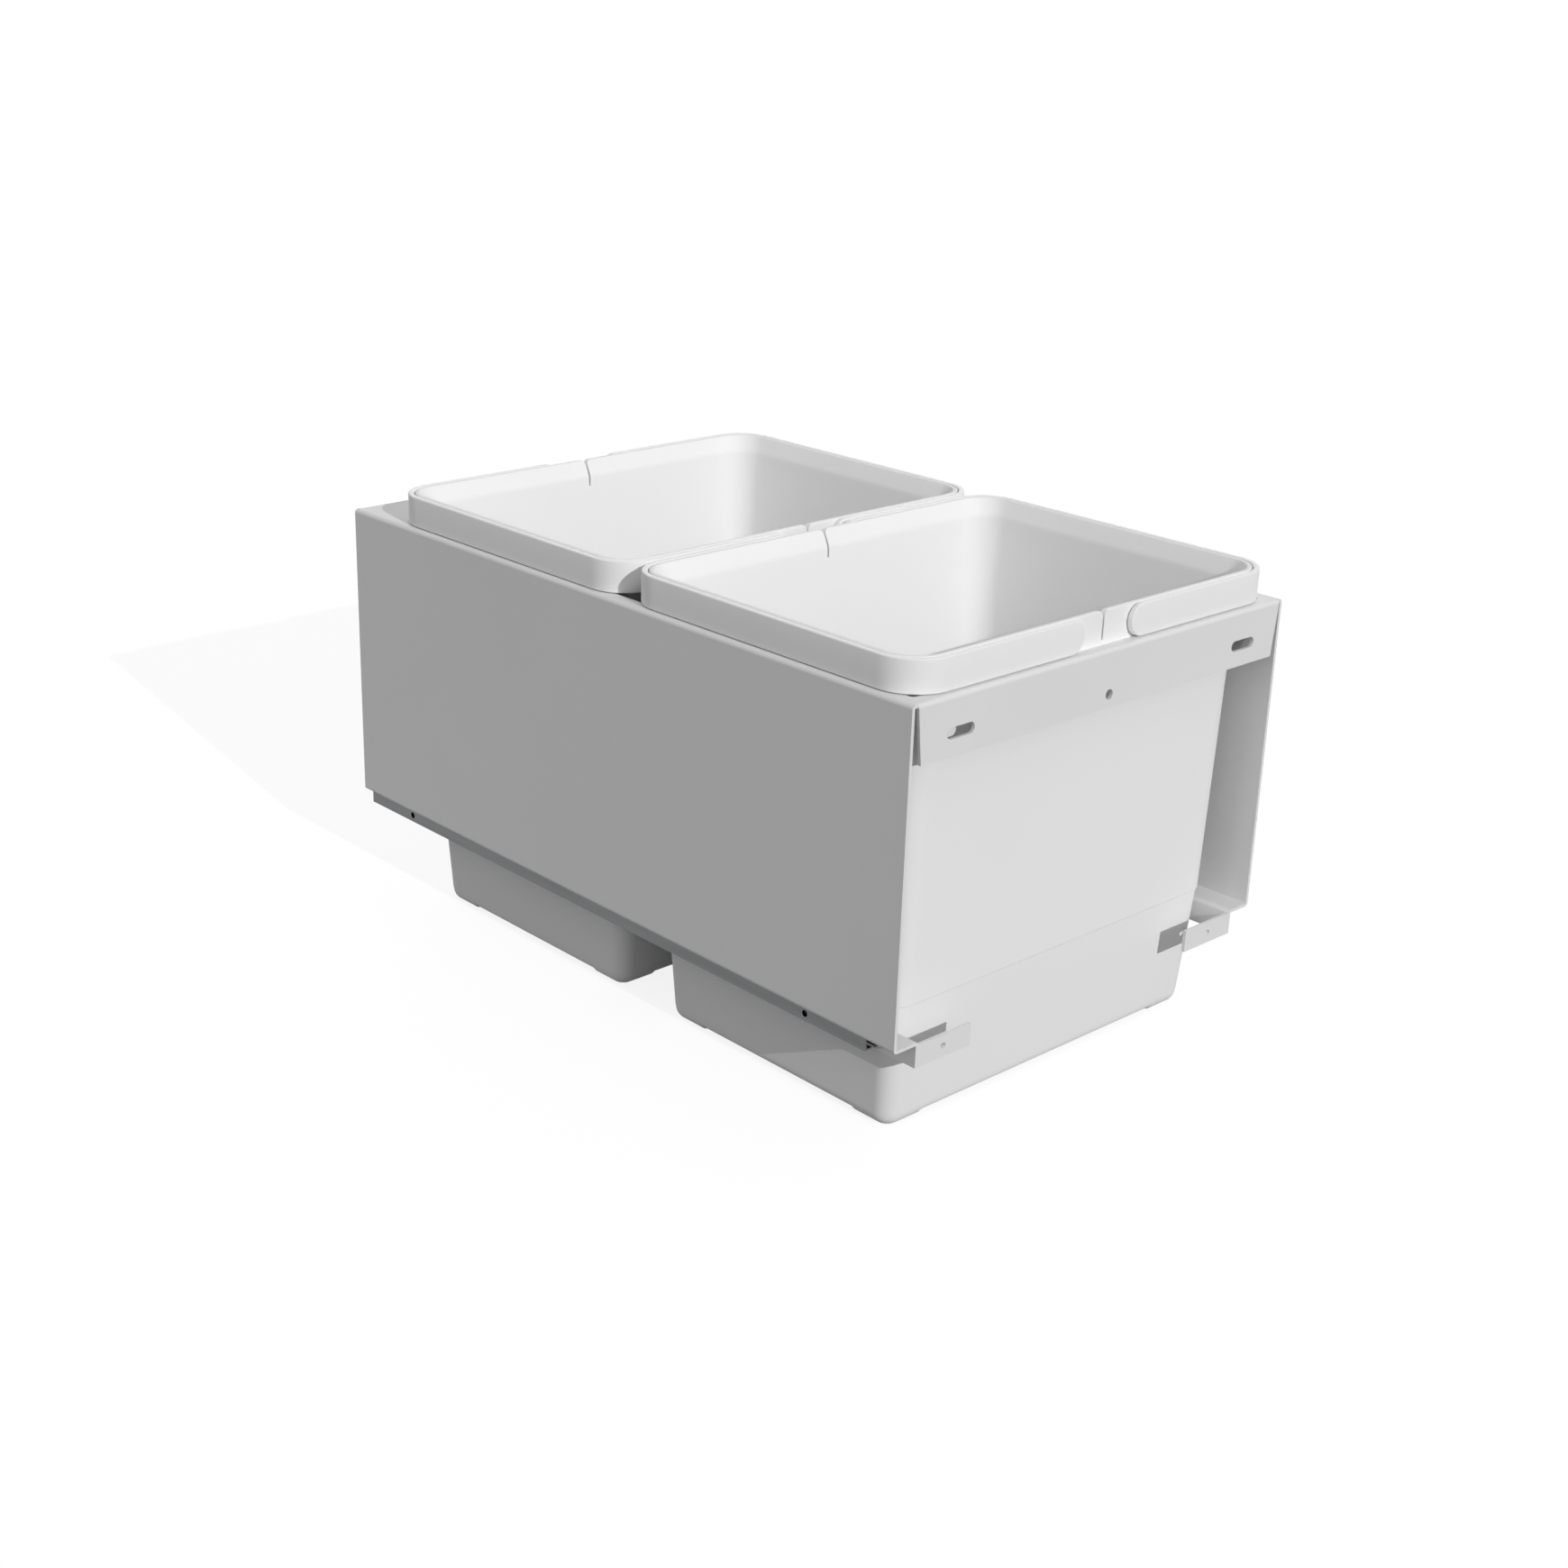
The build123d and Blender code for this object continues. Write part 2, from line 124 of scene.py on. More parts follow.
def newTree(label, sizes):
    kinds = {
        int: "NodeSocketInt", float: "NodeSocketFloat", tuple: "NodeSocketVector",
        bpy.types.Material: "NodeSocketMaterial",
    }
    tree = bpy.data.node_groups.new(label, "GeometryNodeTree")
    tree.interface.new_socket("Geometry", in_out="INPUT", socket_type="NodeSocketGeometry")
    for name, value in sizes.items():
        tree.interface.new_socket(name, in_out="INPUT", socket_type=kinds[type(value)])
    tree.interface.new_socket("Geometry", in_out="OUTPUT", socket_type="NodeSocketGeometry")
    start = tree.nodes.new("NodeGroupInput")
    return tree, {name: Field(tree, start.outputs[name]) for name in ("Geometry", *sizes)}


def closeTree(tree, geometry, finish, sharpAngle=0.6):
    # real geometry, smooth but for its sharp edges, in its own finish
    real = made(tree, "GeometryNodeRealizeInstances", {"Geometry": geometry})
    soft = made(tree, "GeometryNodeSetShadeSmooth", {0: real}, domain="FACE")
    bend = Field(tree, tree.nodes.new("GeometryNodeInputMeshEdgeAngle").outputs["Unsigned Angle"])
    sharp = {0: soft, "Selection": bend.over(sharpAngle), "Shade Smooth": False}
    crisp = made(tree, "GeometryNodeSetShadeSmooth", sharp, domain="EDGE")
    painted = made(tree, "GeometryNodeSetMaterial", {"Geometry": crisp, "Material": finish})
    end = tree.nodes.new("NodeGroupOutput")
    tree.links.new(painted, end.inputs["Geometry"])


def vector(tree, x=0.0, y=0.0, z=0.0):
    return made(tree, "ShaderNodeCombineXYZ", {"X": x, "Y": y, "Z": z})


def readPosition(tree):
    return made(tree, "GeometryNodeInputPosition")


def moved(tree, geometry, place):
    return made(tree, "GeometryNodeTransform", {"Geometry": geometry, "Translation": place})


def joined(tree, *parts):
    join = tree.nodes.new("GeometryNodeJoinGeometry")
    for part in reversed(parts):
        tree.links.new(part, join.inputs[0])
    return join.outputs[0]


def placed(tree, geometry, x, y, z):
    return made(tree, "GeometryNodeSetPosition", {"Geometry": geometry, "Position": vector(tree, x, y, z)})


def welded(tree, geometry):
    return made(tree, "GeometryNodeMergeByDistance", {"Geometry": geometry, "Distance": weldDistance})


def lineOf(tree, count, start, step):
    return made(tree, "GeometryNodeMeshLine", {"Count": count, "Start Location": start, "Offset": step})


def onPoints(tree, points, shape, turn=noTurn, selection=True):
    return made(tree, "GeometryNodeInstanceOnPoints", {
        "Points": points, "Instance": shape, "Rotation": turn, "Selection": selection})


def gridIndex(tree, rows):
    # column and row of each vertex of a grid
    index = Field(tree, tree.nodes.new("GeometryNodeInputIndex").outputs[0])
    column = ((index + 0.5) / rows).floor()
    return column, index - column * rows


def cornerWalk(step, steps, holds=0):
    # round a rounded rectangle: the quarter's signs, the angle, and how many points past the arc's ends
    span = steps + 1 + 2 * holds
    quarter = ((step + 0.5) / span).floor()
    local = step - quarter * span - holds
    angle = (quarter + (local / steps).limit(0.0, 1.0)) * (math.pi / 2)
    middle = (quarter + 0.5) * (math.pi / 2)
    past = (local - steps).math("MAXIMUM", 0.0) + local.math("MINIMUM", 0.0)
    return middle.cos().sign(), middle.sin().sign(), angle, past


def makePiece(label, tree, sizes, source=None):
    # the tree's result as a plain mesh, with its modifier and holder gone
    holder = bpy.data.objects.new(label + "Holder", source or bpy.data.meshes.new(label + "Start"))
    scene.collection.objects.link(holder)
    modifier = holder.modifiers.new("shape", "NODES")
    modifier.node_group = tree
    for item in tree.interface.items_tree:
        if item.in_out == "INPUT" and item.name in sizes:
            modifier[item.identifier] = sizes[item.name]
    mesh = bpy.data.meshes.new_from_object(holder.evaluated_get(bpy.context.evaluated_depsgraph_get()))
    bpy.data.objects.remove(holder)
    piece = bpy.data.objects.new(label, mesh)
    scene.collection.objects.link(piece)
    return piece


def standsFor(piece, node, body):
    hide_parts(node)
    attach(piece, body)
    print(piece.name, "in place of", node, "with", len(piece.data.polygons), "faces")


# finishes

def newShaderGroup(label, inputs, outputs):
    tree = bpy.data.node_groups.new(label, "ShaderNodeTree")
    for way, sockets in (("INPUT", inputs), ("OUTPUT", outputs)):
        for name, kind in sockets.items():
            tree.interface.new_socket(name, in_out=way, socket_type="NodeSocket" + kind)
    return tree, tree.nodes.new("NodeGroupInput").outputs, tree.nodes.new("NodeGroupOutput").inputs


def buildGrain(wideScale=0.22):
    # height of a fine moulded or sprayed texture, from two sizes of noise
    inputs = {"Vector": "Vector", "Scale": "Float", "Coarse": "Float"}
    tree, given, result = newShaderGroup("fineGrain", inputs, {"Height": "Float"})
    size = Field(tree, given["Scale"])
    fine = addNode(tree, "ShaderNodeTexNoise", {
        "Vector": given["Vector"], "Scale": size, "Detail": 3.0, "Roughness": 0.6})
    wide = addNode(tree, "ShaderNodeTexNoise", {"Vector": given["Vector"], "Scale": size * wideScale, "Detail": 1.0})
    height = Field(tree, wide.outputs["Fac"]) * Field(tree, given["Coarse"]) + Field(tree, fine.outputs["Fac"])
    tree.links.new(height.socket, result["Height"])
    return tree


def buildToneDrift():
    # slow change of tone over a large surface
    inputs = {"Vector": "Vector", "Scale": "Float", "Light": "Color", "Dark": "Color"}
    tree, given, result = newShaderGroup("toneDrift", inputs, {"Color": "Color", "Mask": "Float"})
    cloud = addNode(tree, "ShaderNodeTexNoise", {
        "Vector": given["Vector"], "Scale": given["Scale"], "Detail": 4.0, "Roughness": 0.55})
    ramp = addNode(tree, "ShaderNodeMapRange", {"Value": cloud.outputs["Fac"], "From Min": 0.35, "From Max": 0.65})
    mask = ramp.outputs["Result"]
    mix = addNode(tree, "ShaderNodeMix", {0: mask, 6: given["Dark"], 7: given["Light"]}, data_type="RGBA")
    tree.links.new(mix.outputs[2], result["Color"])
    tree.links.new(mask, result["Mask"])
    return tree


grain = buildGrain()
toneDrift = buildToneDrift()


def newMaterial(name):
    mat = bpy.data.materials.new(name)
    mat.use_nodes = True
    mat.node_tree.nodes.clear()
    return mat


def surface(name, look):
    mat = newMaterial(name)
    tree = mat.node_tree
    coord = tree.nodes.new("ShaderNodeTexCoord").outputs["Object"]
    if "stretch" in look:
        coord = made(tree, "ShaderNodeMapping", {"Vector": coord, "Scale": look["stretch"]})
    tone = addNode(tree, "ShaderNodeGroup", node_tree=toneDrift)
    drift = {"Scale": look["driftScale"], "Light": (*look["light"], 1), "Dark": (*look["dark"], 1)}
    height = addNode(tree, "ShaderNodeGroup", node_tree=grain)
    texture = {"Scale": look["grainScale"], "Coarse": look["coarse"]}
    for group, values in ((tone, drift), (height, texture)):
        for key, value in {"Vector": coord, **values}.items():
            feed(tree, group.inputs[key], value)
    bump = addNode(tree, "ShaderNodeBump", {
        "Height": height.outputs["Height"], "Strength": look["bump"], "Distance": look["depth"]})
    smoothest, roughest = look["rough"]
    rough = addNode(tree, "ShaderNodeMapRange", {
        "Value": tone.outputs["Mask"], "To Min": smoothest, "To Max": roughest})
    shader = addNode(tree, "ShaderNodeBsdfPrincipled", {
        "Base Color": tone.outputs["Color"],
        "Roughness": rough.outputs["Result"],
        "Normal": bump.outputs["Normal"],
        "Metallic": look.get("metal", 0.0),
        "Specular IOR Level": look.get("specular", 0.5),
    })
    out = tree.nodes.new("ShaderNodeOutputMaterial")
    tree.links.new(shader.outputs[0], out.inputs["Surface"])
    return mat


powderCoat = surface("powderCoat", {
    "light": (0.84, 0.84, 0.84), "dark": (0.82, 0.82, 0.82), "driftScale": 9,
    "grainScale": 1500, "coarse": 0.8, "bump": 0.25, "depth": 0.0002, "rough": (0.5, 0.56), "specular": 0.3})
binPlastic = surface("binPlastic", {
    "light": (0.95, 0.95, 0.95), "dark": (0.94, 0.94, 0.94), "driftScale": 7,
    "grainScale": 2600, "coarse": 0.3, "bump": 0.2, "depth": 0.0001, "rough": (0.58, 0.64), "specular": 0.25})
hoopPlastic = surface("hoopPlastic", {
    "light": (0.95, 0.95, 0.95), "dark": (0.94, 0.94, 0.94), "driftScale": 11,
    "grainScale": 3000, "coarse": 0.3, "bump": 0.12, "depth": 0.0001, "rough": (0.45, 0.5), "specular": 0.3})
# painted shade: the rails get a dark grey well below bare zinc, so that the rail under the left side panel reads as
# the shaded strip beneath it
zincSteelPaintedShade = surface("zincSteelPaintedShade", {
    "light": (0.19, 0.195, 0.2), "dark": (0.15, 0.155, 0.16), "driftScale": 160, "stretch": (1, 0.06, 1),
    "grainScale": 4000, "coarse": 0.4, "bump": 0.2, "depth": 0.0001, "rough": (0.34, 0.46), "metal": 0.8})
ballSteel = surface("ballSteel", {
    "light": (0.82, 0.82, 0.83), "dark": (0.74, 0.74, 0.76), "driftScale": 700,
    "grainScale": 9000, "coarse": 0.2, "bump": 0.05, "depth": 0.00005, "rough": (0.1, 0.18), "metal": 1.0})
cagePlastic = surface("cagePlastic", {
    "light": (0.68, 0.68, 0.65), "dark": (0.62, 0.62, 0.59), "driftScale": 60,
    "grainScale": 3500, "coarse": 0.3, "bump": 0.2, "depth": 0.0001, "rough": (0.5, 0.6)})
bufferRubber = surface("bufferRubber", {
    "light": (0.05, 0.05, 0.05), "dark": (0.03, 0.03, 0.03), "driftScale": 300,
    "grainScale": 4000, "coarse": 0.6, "bump": 0.4, "depth": 0.0001, "rough": (0.75, 0.85)})
rivetAluminium = surface("rivetAluminium", {
    "light": (0.72, 0.73, 0.74), "dark": (0.62, 0.63, 0.64), "driftScale": 500,
    "grainScale": 5000, "coarse": 0.3, "bump": 0.2, "depth": 0.0001, "rough": (0.3, 0.4), "metal": 1.0})

# by a part of the node's name; a later entry wins
finishes = {
    "rail_": zincSteelPaintedShade, "cage": cagePlastic, "buffer": bufferRubber, "frame": powderCoat,
    "balls": ballSteel, "rivets": rivetAluminium, "_bin": binPlastic, "_hoop": hoopPlastic,
}
for name, node in nodes.items():
    for key, finish in finishes.items():
        if key in name:
            node.data.materials.clear()
            node.data.materials.append(finish)
print("finishes on the CAD nodes")


# bins: rings of rounded rectangles that follow one profile

binShape = {
    "halfWidth": 0.1491, "halfDepth": 0.1115, "cornerRadius": 0.0218,
    "rim": 0.2848, "deck": 0.265, "step": 0.0796, "stepInset": 0.0008,
    "skirt": 0.0026, "land": 0.0029, "rimRound": 0.0009, "slant": 0.0104, "slantRound": 0.008, "hollow": 0.0066,
    "wall": 0.0025, "bodyInset": 0.0056, "draft": 0.03125, "baseAcross": 0.06, "baseAlong": 0.076,
    "bodyCorner": 0.02, "baseCorner": 0.01, "baseRound": 0.0085, "footLength": 0.028, "footHeight": 0.003,
    "footMargin": 0.0003,
    "places": {"front_bin": -0.1352, "rear_bin": 0.0988}, "slot": "white_bin_plastic",
}


def binProfile(b):
    # height, inset, extra inset along, corner radius and bend of each profile point
    slantZ = b["rim"] - b["slant"]
    lower = b["step"] - b["stepInset"]
    hollowZ = b["rim"] - b["hollow"]
    above = b["bodyInset"] + b["draft"] * (b["deck"] - b["step"])
    below = above + b["stepInset"]
    stepCorner = b["baseCorner"] + (b["bodyCorner"] - b["baseCorner"]) * b["step"] / b["deck"]
    slope = (b["bodyInset"] + b["wall"] - b["land"]) / b["slant"]
    hollowInset = b["land"] + slope * b["hollow"] - b["wall"] * math.hypot(1, slope)
    slantInset = b["bodyInset"] - b["draft"] * (slantZ - b["deck"])
    base = below + b["baseAcross"] * lower
    extra = (b["baseAlong"] - b["baseAcross"]) * lower
    floorZ = b["wall"] + b["footHeight"]
    floorInset = base + b["wall"] - b["baseAcross"] * floorZ
    floorExtra = extra - (b["baseAlong"] - b["baseAcross"]) * floorZ
    narrow = b["halfDepth"] - b["halfWidth"]
    outerCorner, wall, skirt = b["cornerRadius"], b["wall"], b["skirt"]
    return [
        (0, b["halfWidth"], narrow, 0, 0),
        (0, base, extra, b["baseCorner"], b["baseRound"]),
        (lower, below, 0, stepCorner - b["stepInset"], 0),
        (b["step"], above, 0, stepCorner, 0),
        (b["deck"], b["bodyInset"], 0, b["bodyCorner"], 0),
        (slantZ, slantInset, 0, b["bodyCorner"], 0),
        (hollowZ, hollowInset, 0, outerCorner - hollowInset, 0),
        (hollowZ, skirt, 0, outerCorner - skirt, 0),
        (b["deck"], skirt, 0, outerCorner - skirt, 0),
        (b["deck"], 0, 0, outerCorner, 0),
        (b["rim"], 0, 0, outerCorner, b["rimRound"]),
        (b["rim"], b["land"], 0, outerCorner - b["land"], b["rimRound"]),
        (slantZ, slantInset + wall, 0, b["bodyCorner"] - wall, b["slantRound"]),
        (b["step"], above + wall, 0, stepCorner - wall, 0),
        (lower, below + wall, 0, stepCorner - b["stepInset"] - wall, 0),
        (floorZ, floorInset, floorExtra, b["baseCorner"] - wall, b["baseRound"] - wall),
        (floorZ, b["halfWidth"], narrow, 0, 0),
    ]


def withHolds(points, gap=0.0015, longRun=0.02):
    # more points close to the bends of long straight runs, so that flat walls shade flat
    def reach(i):
        if not 0 < i < len(points) - 1 or not points[i][4]:
            return 0.0
        before, here, after = (Vector((p[1], p[0])) for p in points[i - 1:i + 2])
        return points[i][4] * math.tan((here - before).angle(after - here) / 2)

    out = [points[0]]
    for i in range(1, len(points)):
        a, b = points[i - 1], points[i]
        run = math.hypot(b[0] - a[0], b[1] - a[1])
        ends = [reach(i - 1) + gap, run - reach(i) - gap]
        if run > longRun:
            for at in ends:
                t = at / run
                out.append(tuple(a[k] + (b[k] - a[k]) * t for k in range(4)) + (0,))
        out.append(b)
    return out


def profileMesh(points):
    mesh = bpy.data.meshes.new("binProfile")
    path = [(inset, 0, z) for z, inset, *_ in points]
    mesh.from_pydata(path, [(i, i + 1) for i in range(len(points) - 1)], [])
    for name, values in {
        "inset": [p[1] for p in points], "extra": [p[2] for p in points],
        "corner": [p[3] for p in points], "bend": [p[4] for p in points],
    }.items():
        mesh.attributes.new(name, "FLOAT", "POINT").data.foreach_set("value", values)
    return mesh


def named(tree, name):
    return addNode(tree, "GeometryNodeInputNamedAttribute", {"Name": name}, data_type="FLOAT").outputs["Attribute"]


def shellOf(tree, size, holds=3, smallRing=0.02):
    # rounded profile, swept as rings of rounded rectangles; the small rings in mid base need no holds
    line = made(tree, "GeometryNodeMeshToCurve", {0: size["Geometry"]})
    line = made(tree, "GeometryNodeFilletCurve", {
        "Curve": line, "Count": size["Bend Steps"], "Radius": named(tree, "bend"), "Limit Radius": True}, mode="POLY")
    lineSize = addNode(tree, "GeometryNodeAttributeDomainSize", {0: line}, component="CURVE")
    around = (size["Corner Steps"] + (1 + 2 * holds)) * 4 + 1
    sheet = made(tree, "GeometryNodeMeshGrid", {
        "Vertices X": Field(tree, lineSize.outputs["Point Count"]), "Vertices Y": around})
    ring, step = gridIndex(tree, around)

    def sample(value, kind="FLOAT"):
        # the profile's value at this ring
        inputs = {"Geometry": line, "Value": value, "Index": ring}
        return made(tree, "GeometryNodeSampleIndex", inputs, data_type=kind, domain="POINT")

    def sampled(name):
        return Field(tree, sample(named(tree, name)))

    point = sample(readPosition(tree), "FLOAT_VECTOR")
    split = addNode(tree, "ShaderNodeSeparateXYZ", {0: point})
    inset, height = Field(tree, split.outputs["X"]), Field(tree, split.outputs["Z"])
    radius = sampled("corner") + sampled("inset") - inset
    halfX = size["Half Width"] - inset
    halfY = size["Half Depth"] - inset - sampled("extra")
    signX, signY, angle, past = cornerWalk(step, size["Corner Steps"], holds)
    # three points on the straight run: beside the corner, and on both sides of the foot pad's end
    far = past.math("ABSOLUTE")
    reach = far.over(0.5) * size["Hold"] + far.over(1.5) * (size["Pad Reach"] - size["Hold"])
    reach = reach + far.over(2.5) * size["Hold"]
    along = past.sign() * reach * halfX.over(smallRing)
    lift = far.over(2.5) * size["Pad Rise"] * (1.0 - height / size["Floor Height"]).math("MAXIMUM", 0.0)
    x = signX * (halfX - radius) + radius * angle.cos() - along * angle.sin()
    y = signY * (halfY - radius) + radius * angle.sin() + along * angle.cos()
    return made(tree, "GeometryNodeFlipFaces", {"Mesh": welded(tree, placed(tree, sheet, x, y, height + lift))})


def notchCutter(tree, size, rows=12, above=0.002, through=2.2):
    # slit with rounded shoulders, through the front and the back of the rim
    box = made(tree, "GeometryNodeMeshCube", {
        "Size": (1, 1, 1), "Vertices X": 2, "Vertices Y": 2, "Vertices Z": rows})
    split = addNode(tree, "ShaderNodeSeparateXYZ", {0: readPosition(tree)})
    row = (Field(tree, split.outputs["Z"]) + 0.5) * (rows - 1.0)
    turn = ((row - 1.0) / (rows - 3.0)).limit(0.0, 1.0) * (math.pi / 2)
    shoulder, slit = size["Notch Shoulder"], size["Notch Slit"]
    half = slit / 2.0 + shoulder - shoulder * turn.cos()
    lower = (0.5 - row).over(0.0) * (size["Notch Depth"] - shoulder)
    x = Field(tree, split.outputs["X"]).sign() * half
    y = Field(tree, split.outputs["Y"]) * size["Half Depth"] * through
    z = size["Rim Height"] - shoulder + shoulder * turn.sin() - lower + row.over(rows - 1.5) * above
    return placed(tree, box, x, y, z)


def footCutters(tree, size):
    # two gaps across the base, which leave a foot pad at each corner
    wide = vector(tree, size["Foot Gap Across"], 1.0, size["Foot Height"] * 2.0)
    deep = vector(tree, 1.0, size["Foot Gap Along"], size["Foot Height"] * 2.0)
    return [made(tree, "GeometryNodeMeshCube", {"Size": gap}) for gap in (wide, deep)]


def pinOf(tree, radius, length):
    return made(tree, "GeometryNodeMeshCylinder", {"Vertices": pinSides, "Radius": radius, "Depth": length})


def socketCutters(tree, size):
    # one at each end of both hoops
    points = made(tree, "GeometryNodeMeshGrid", {
        "Size X": size["Pivot Spread"], "Size Y": size["Half Depth"] * 2.0, "Vertices X": 2, "Vertices Y": 2})
    points = moved(tree, points, vector(tree, z=size["Pivot Height"]))
    pin = pinOf(tree, size["Socket Radius"], size["Socket Depth"] * 2.0)
    return made(tree, "GeometryNodeRealizeInstances", {0: onPoints(tree, points, pin, (math.pi / 2, 0, 0))})


def ribRows(tree, size):
    # ribs behind the skirt that centre the bin in the deck
    box = made(tree, "GeometryNodeMeshCube", {"Size": (1, 1, 1)})
    split = addNode(tree, "ShaderNodeSeparateXYZ", {0: readPosition(tree)})
    outer = Field(tree, split.outputs["X"]).over(0.0)
    upper = Field(tree, split.outputs["Z"]).over(0.0)
    root = -1.0 * size["Rib Root"] - (1.0 - upper) * size["Rib Taper"]
    x = outer * (size["Rib Root"] - size["Rib Edge"]) + root
    z = size["Deck Height"] + upper * (size["Rib Above"] + size["Rib Below"]) - size["Rib Below"]
    z = z - (1.0 - upper) * (1.0 - outer) * size["Rib Slope"]
    rib = placed(tree, box, x, Field(tree, split.outputs["Y"]) * size["Rib Thickness"], z)
    rows = []
    index = Field(tree, tree.nodes.new("GeometryNodeInputIndex").outputs[0])
    notMiddle = (index - 2.0).math("ABSOLUTE").over(0.5)  # the notch is there
    across, along = size["Rib Step Across"], size["Rib Step Along"]
    for end in (-1, 1):
        side = lineOf(tree, 3, vector(tree, size["Half Width"] * end, along * -1.0), vector(tree, y=along))
        face = lineOf(tree, 5, vector(tree, across * -2.0, size["Half Depth"] * end), vector(tree, across))
        rows.append(onPoints(tree, side, rib, (0, 0, 0 if end > 0 else math.pi)))
        rows.append(onPoints(tree, face, rib, (0, 0, end * math.pi / 2), notMiddle))
    return joined(tree, *rows)


binPoints = binProfile(binShape)
lowest = binPoints[1]
binSizes = {
    "Half Width": binShape["halfWidth"], "Half Depth": binShape["halfDepth"],
    "Rim Height": binShape["rim"], "Deck Height": binShape["deck"],
    "Corner Steps": 10, "Bend Steps": 6, "Hold": 0.0015,
    "Foot Gap Across": 2 * (binShape["halfWidth"] - lowest[1] - binShape["footLength"]),
    "Foot Gap Along": 2 * (binShape["halfDepth"] - lowest[1] - lowest[2] - binShape["footLength"]),
    "Foot Height": binShape["footHeight"], "Floor Height": binShape["footHeight"] + binShape["wall"],
    "Pad Reach": binShape["footLength"] - binShape["baseCorner"] - binShape["footMargin"], "Pad Rise": 0.0018,
    "Notch Shoulder": 0.0036, "Notch Slit": 0.0014, "Notch Depth": 0.017,
    "Pivot Spread": 0.0592, "Pivot Height": 0.2752, "Socket Radius": 0.00358, "Socket Depth": 0.0016,
    "Rib Root": 0.00685, "Rib Edge": 0.0026, "Rib Above": 0.008, "Rib Below": 0.005, "Rib Slope": 0.0035,
    "Rib Thickness": 0.0016, "Rib Step Across": 0.05, "Rib Step Along": 0.062,
    "Rib Taper": 0.00015,  # with the body's draft
    "Place": (0.0, 0.0, 0.0), "Finish": binPlastic,
}
binTree, size = newTree("binShell", binSizes)
shell = shellOf(binTree, size)
carve = addNode(binTree, "GeometryNodeMeshBoolean", operation="DIFFERENCE", solver="MANIFOLD")
binTree.links.new(shell, carve.inputs["Mesh 1"])
for cutter in (notchCutter(binTree, size), *footCutters(binTree, size), socketCutters(binTree, size)):
    binTree.links.new(cutter, carve.inputs["Mesh 2"])
whole = joined(binTree, carve.outputs[0], ribRows(binTree, size))
closeTree(binTree, moved(binTree, whole, size["Place"]), size["Finish"])

for name, y in binShape["places"].items():
    sizes = {**binSizes, "Place": (0.0, y, 0.0)}
    piece = makePiece(name + "_shell", binTree, sizes, profileMesh(withHolds(binPoints)))
    standsFor(piece, name, name)


# hoops: one band that follows half of the rim, with half-round ends

hoopShape = {
    "Half Width": 0.1535, "Half Depth": 0.1159, "Corner Radius": 0.0262, "Thickness": 0.0036, "Height": 0.0192,
    "Middle Height": 0.2752, "Arm End": 0.02, "Edge Round": 0.0008, "Hold": 0.0015,
    "End Steps": 14, "Corner Steps": 12, "Round Steps": 4,
    "Stud Radius": 0.0035, "Stud Foot": 0.1101, "Side": 1.0, "Place": (0.0, 0.0, 0.0), "Finish": hoopPlastic,
}


def bandOf(tree, size):
    # rings of a rounded section: half-round end, straight arm, corner, bar, and the same mirrored
    ends, bends = size["End Steps"], size["Corner Steps"]
    halfCount = ends + bends + 4.0
    around = (size["Round Steps"] + 1) * 4 + 1
    sheet = made(tree, "GeometryNodeMeshGrid", {"Vertices X": halfCount * 2.0, "Vertices Y": around})
    column, step = gridIndex(tree, around)
    half = size["Thickness"] / 2.0
    edge = size["Edge Round"]
    signW, signZ, angle, _ = cornerWalk(step, size["Round Steps"])
    across = signW * (half - edge) + edge * angle.cos()
    inset = edge * (1.0 - angle.sin().math("ABSOLUTE"))
    last = halfCount * 2.0 - 1.0
    farHalf = column.over(halfCount - 0.5)
    place = column.math("MINIMUM", last - column)
    inEnd = (ends + 0.5 - place).over(0.0)
    swing = (place / ends).limit(0.0, 1.0) * (math.pi / 2)
    rise = size["Height"] / 2.0 - inset
    armX = size["Arm End"] + size["Height"] / 2.0 - rise * swing.cos()
    local = place - ends - 1.0
    bend = (1.0 - ((local - 1.0) / bends).limit(0.0, 1.0)) * (math.pi / 2)
    radius = size["Corner Radius"] - half
    centreX = size["Half Width"] - size["Corner Radius"]
    centreY = size["Half Depth"] - size["Corner Radius"]
    early = (0.5 - local).over(0.0) * (1.0 - inEnd)
    late = local.over(bends + 1.5)
    bendX = centreX + (radius + across) * bend.cos() - early * size["Hold"]
    bendY = centreY + (radius + across) * bend.sin() - late * size["Hold"]
    x = inEnd * armX + (1.0 - inEnd) * bendX
    y = inEnd * (centreY + radius + across) + (1.0 - inEnd) * bendY
    z = size["Middle Height"] + signZ * rise * (inEnd * swing.sin() + 1.0 - inEnd)
    sheet = welded(tree, placed(tree, sheet, x * size["Side"], y * (farHalf * 2.0 - 1.0), z))
    onLeft = (0.0 - size["Side"]).over(0.0)
    return made(tree, "GeometryNodeFlipFaces", {"Mesh": sheet, "Selection": onLeft})


def studsOf(tree, size):
    # from the middle of the band into the sockets of the rim
    outer = size["Half Depth"] - size["Thickness"] / 2.0
    foot = size["Stud Foot"]
    middle = (outer + foot) / 2.0
    x = (size["Arm End"] + size["Height"] / 2.0) * size["Side"]
    start = vector(tree, x, middle * -1.0, size["Middle Height"])
    line = lineOf(tree, 2, start, vector(tree, y=middle * 2.0))
    return onPoints(tree, line, pinOf(tree, size["Stud Radius"], outer - foot), (math.pi / 2, 0, 0))


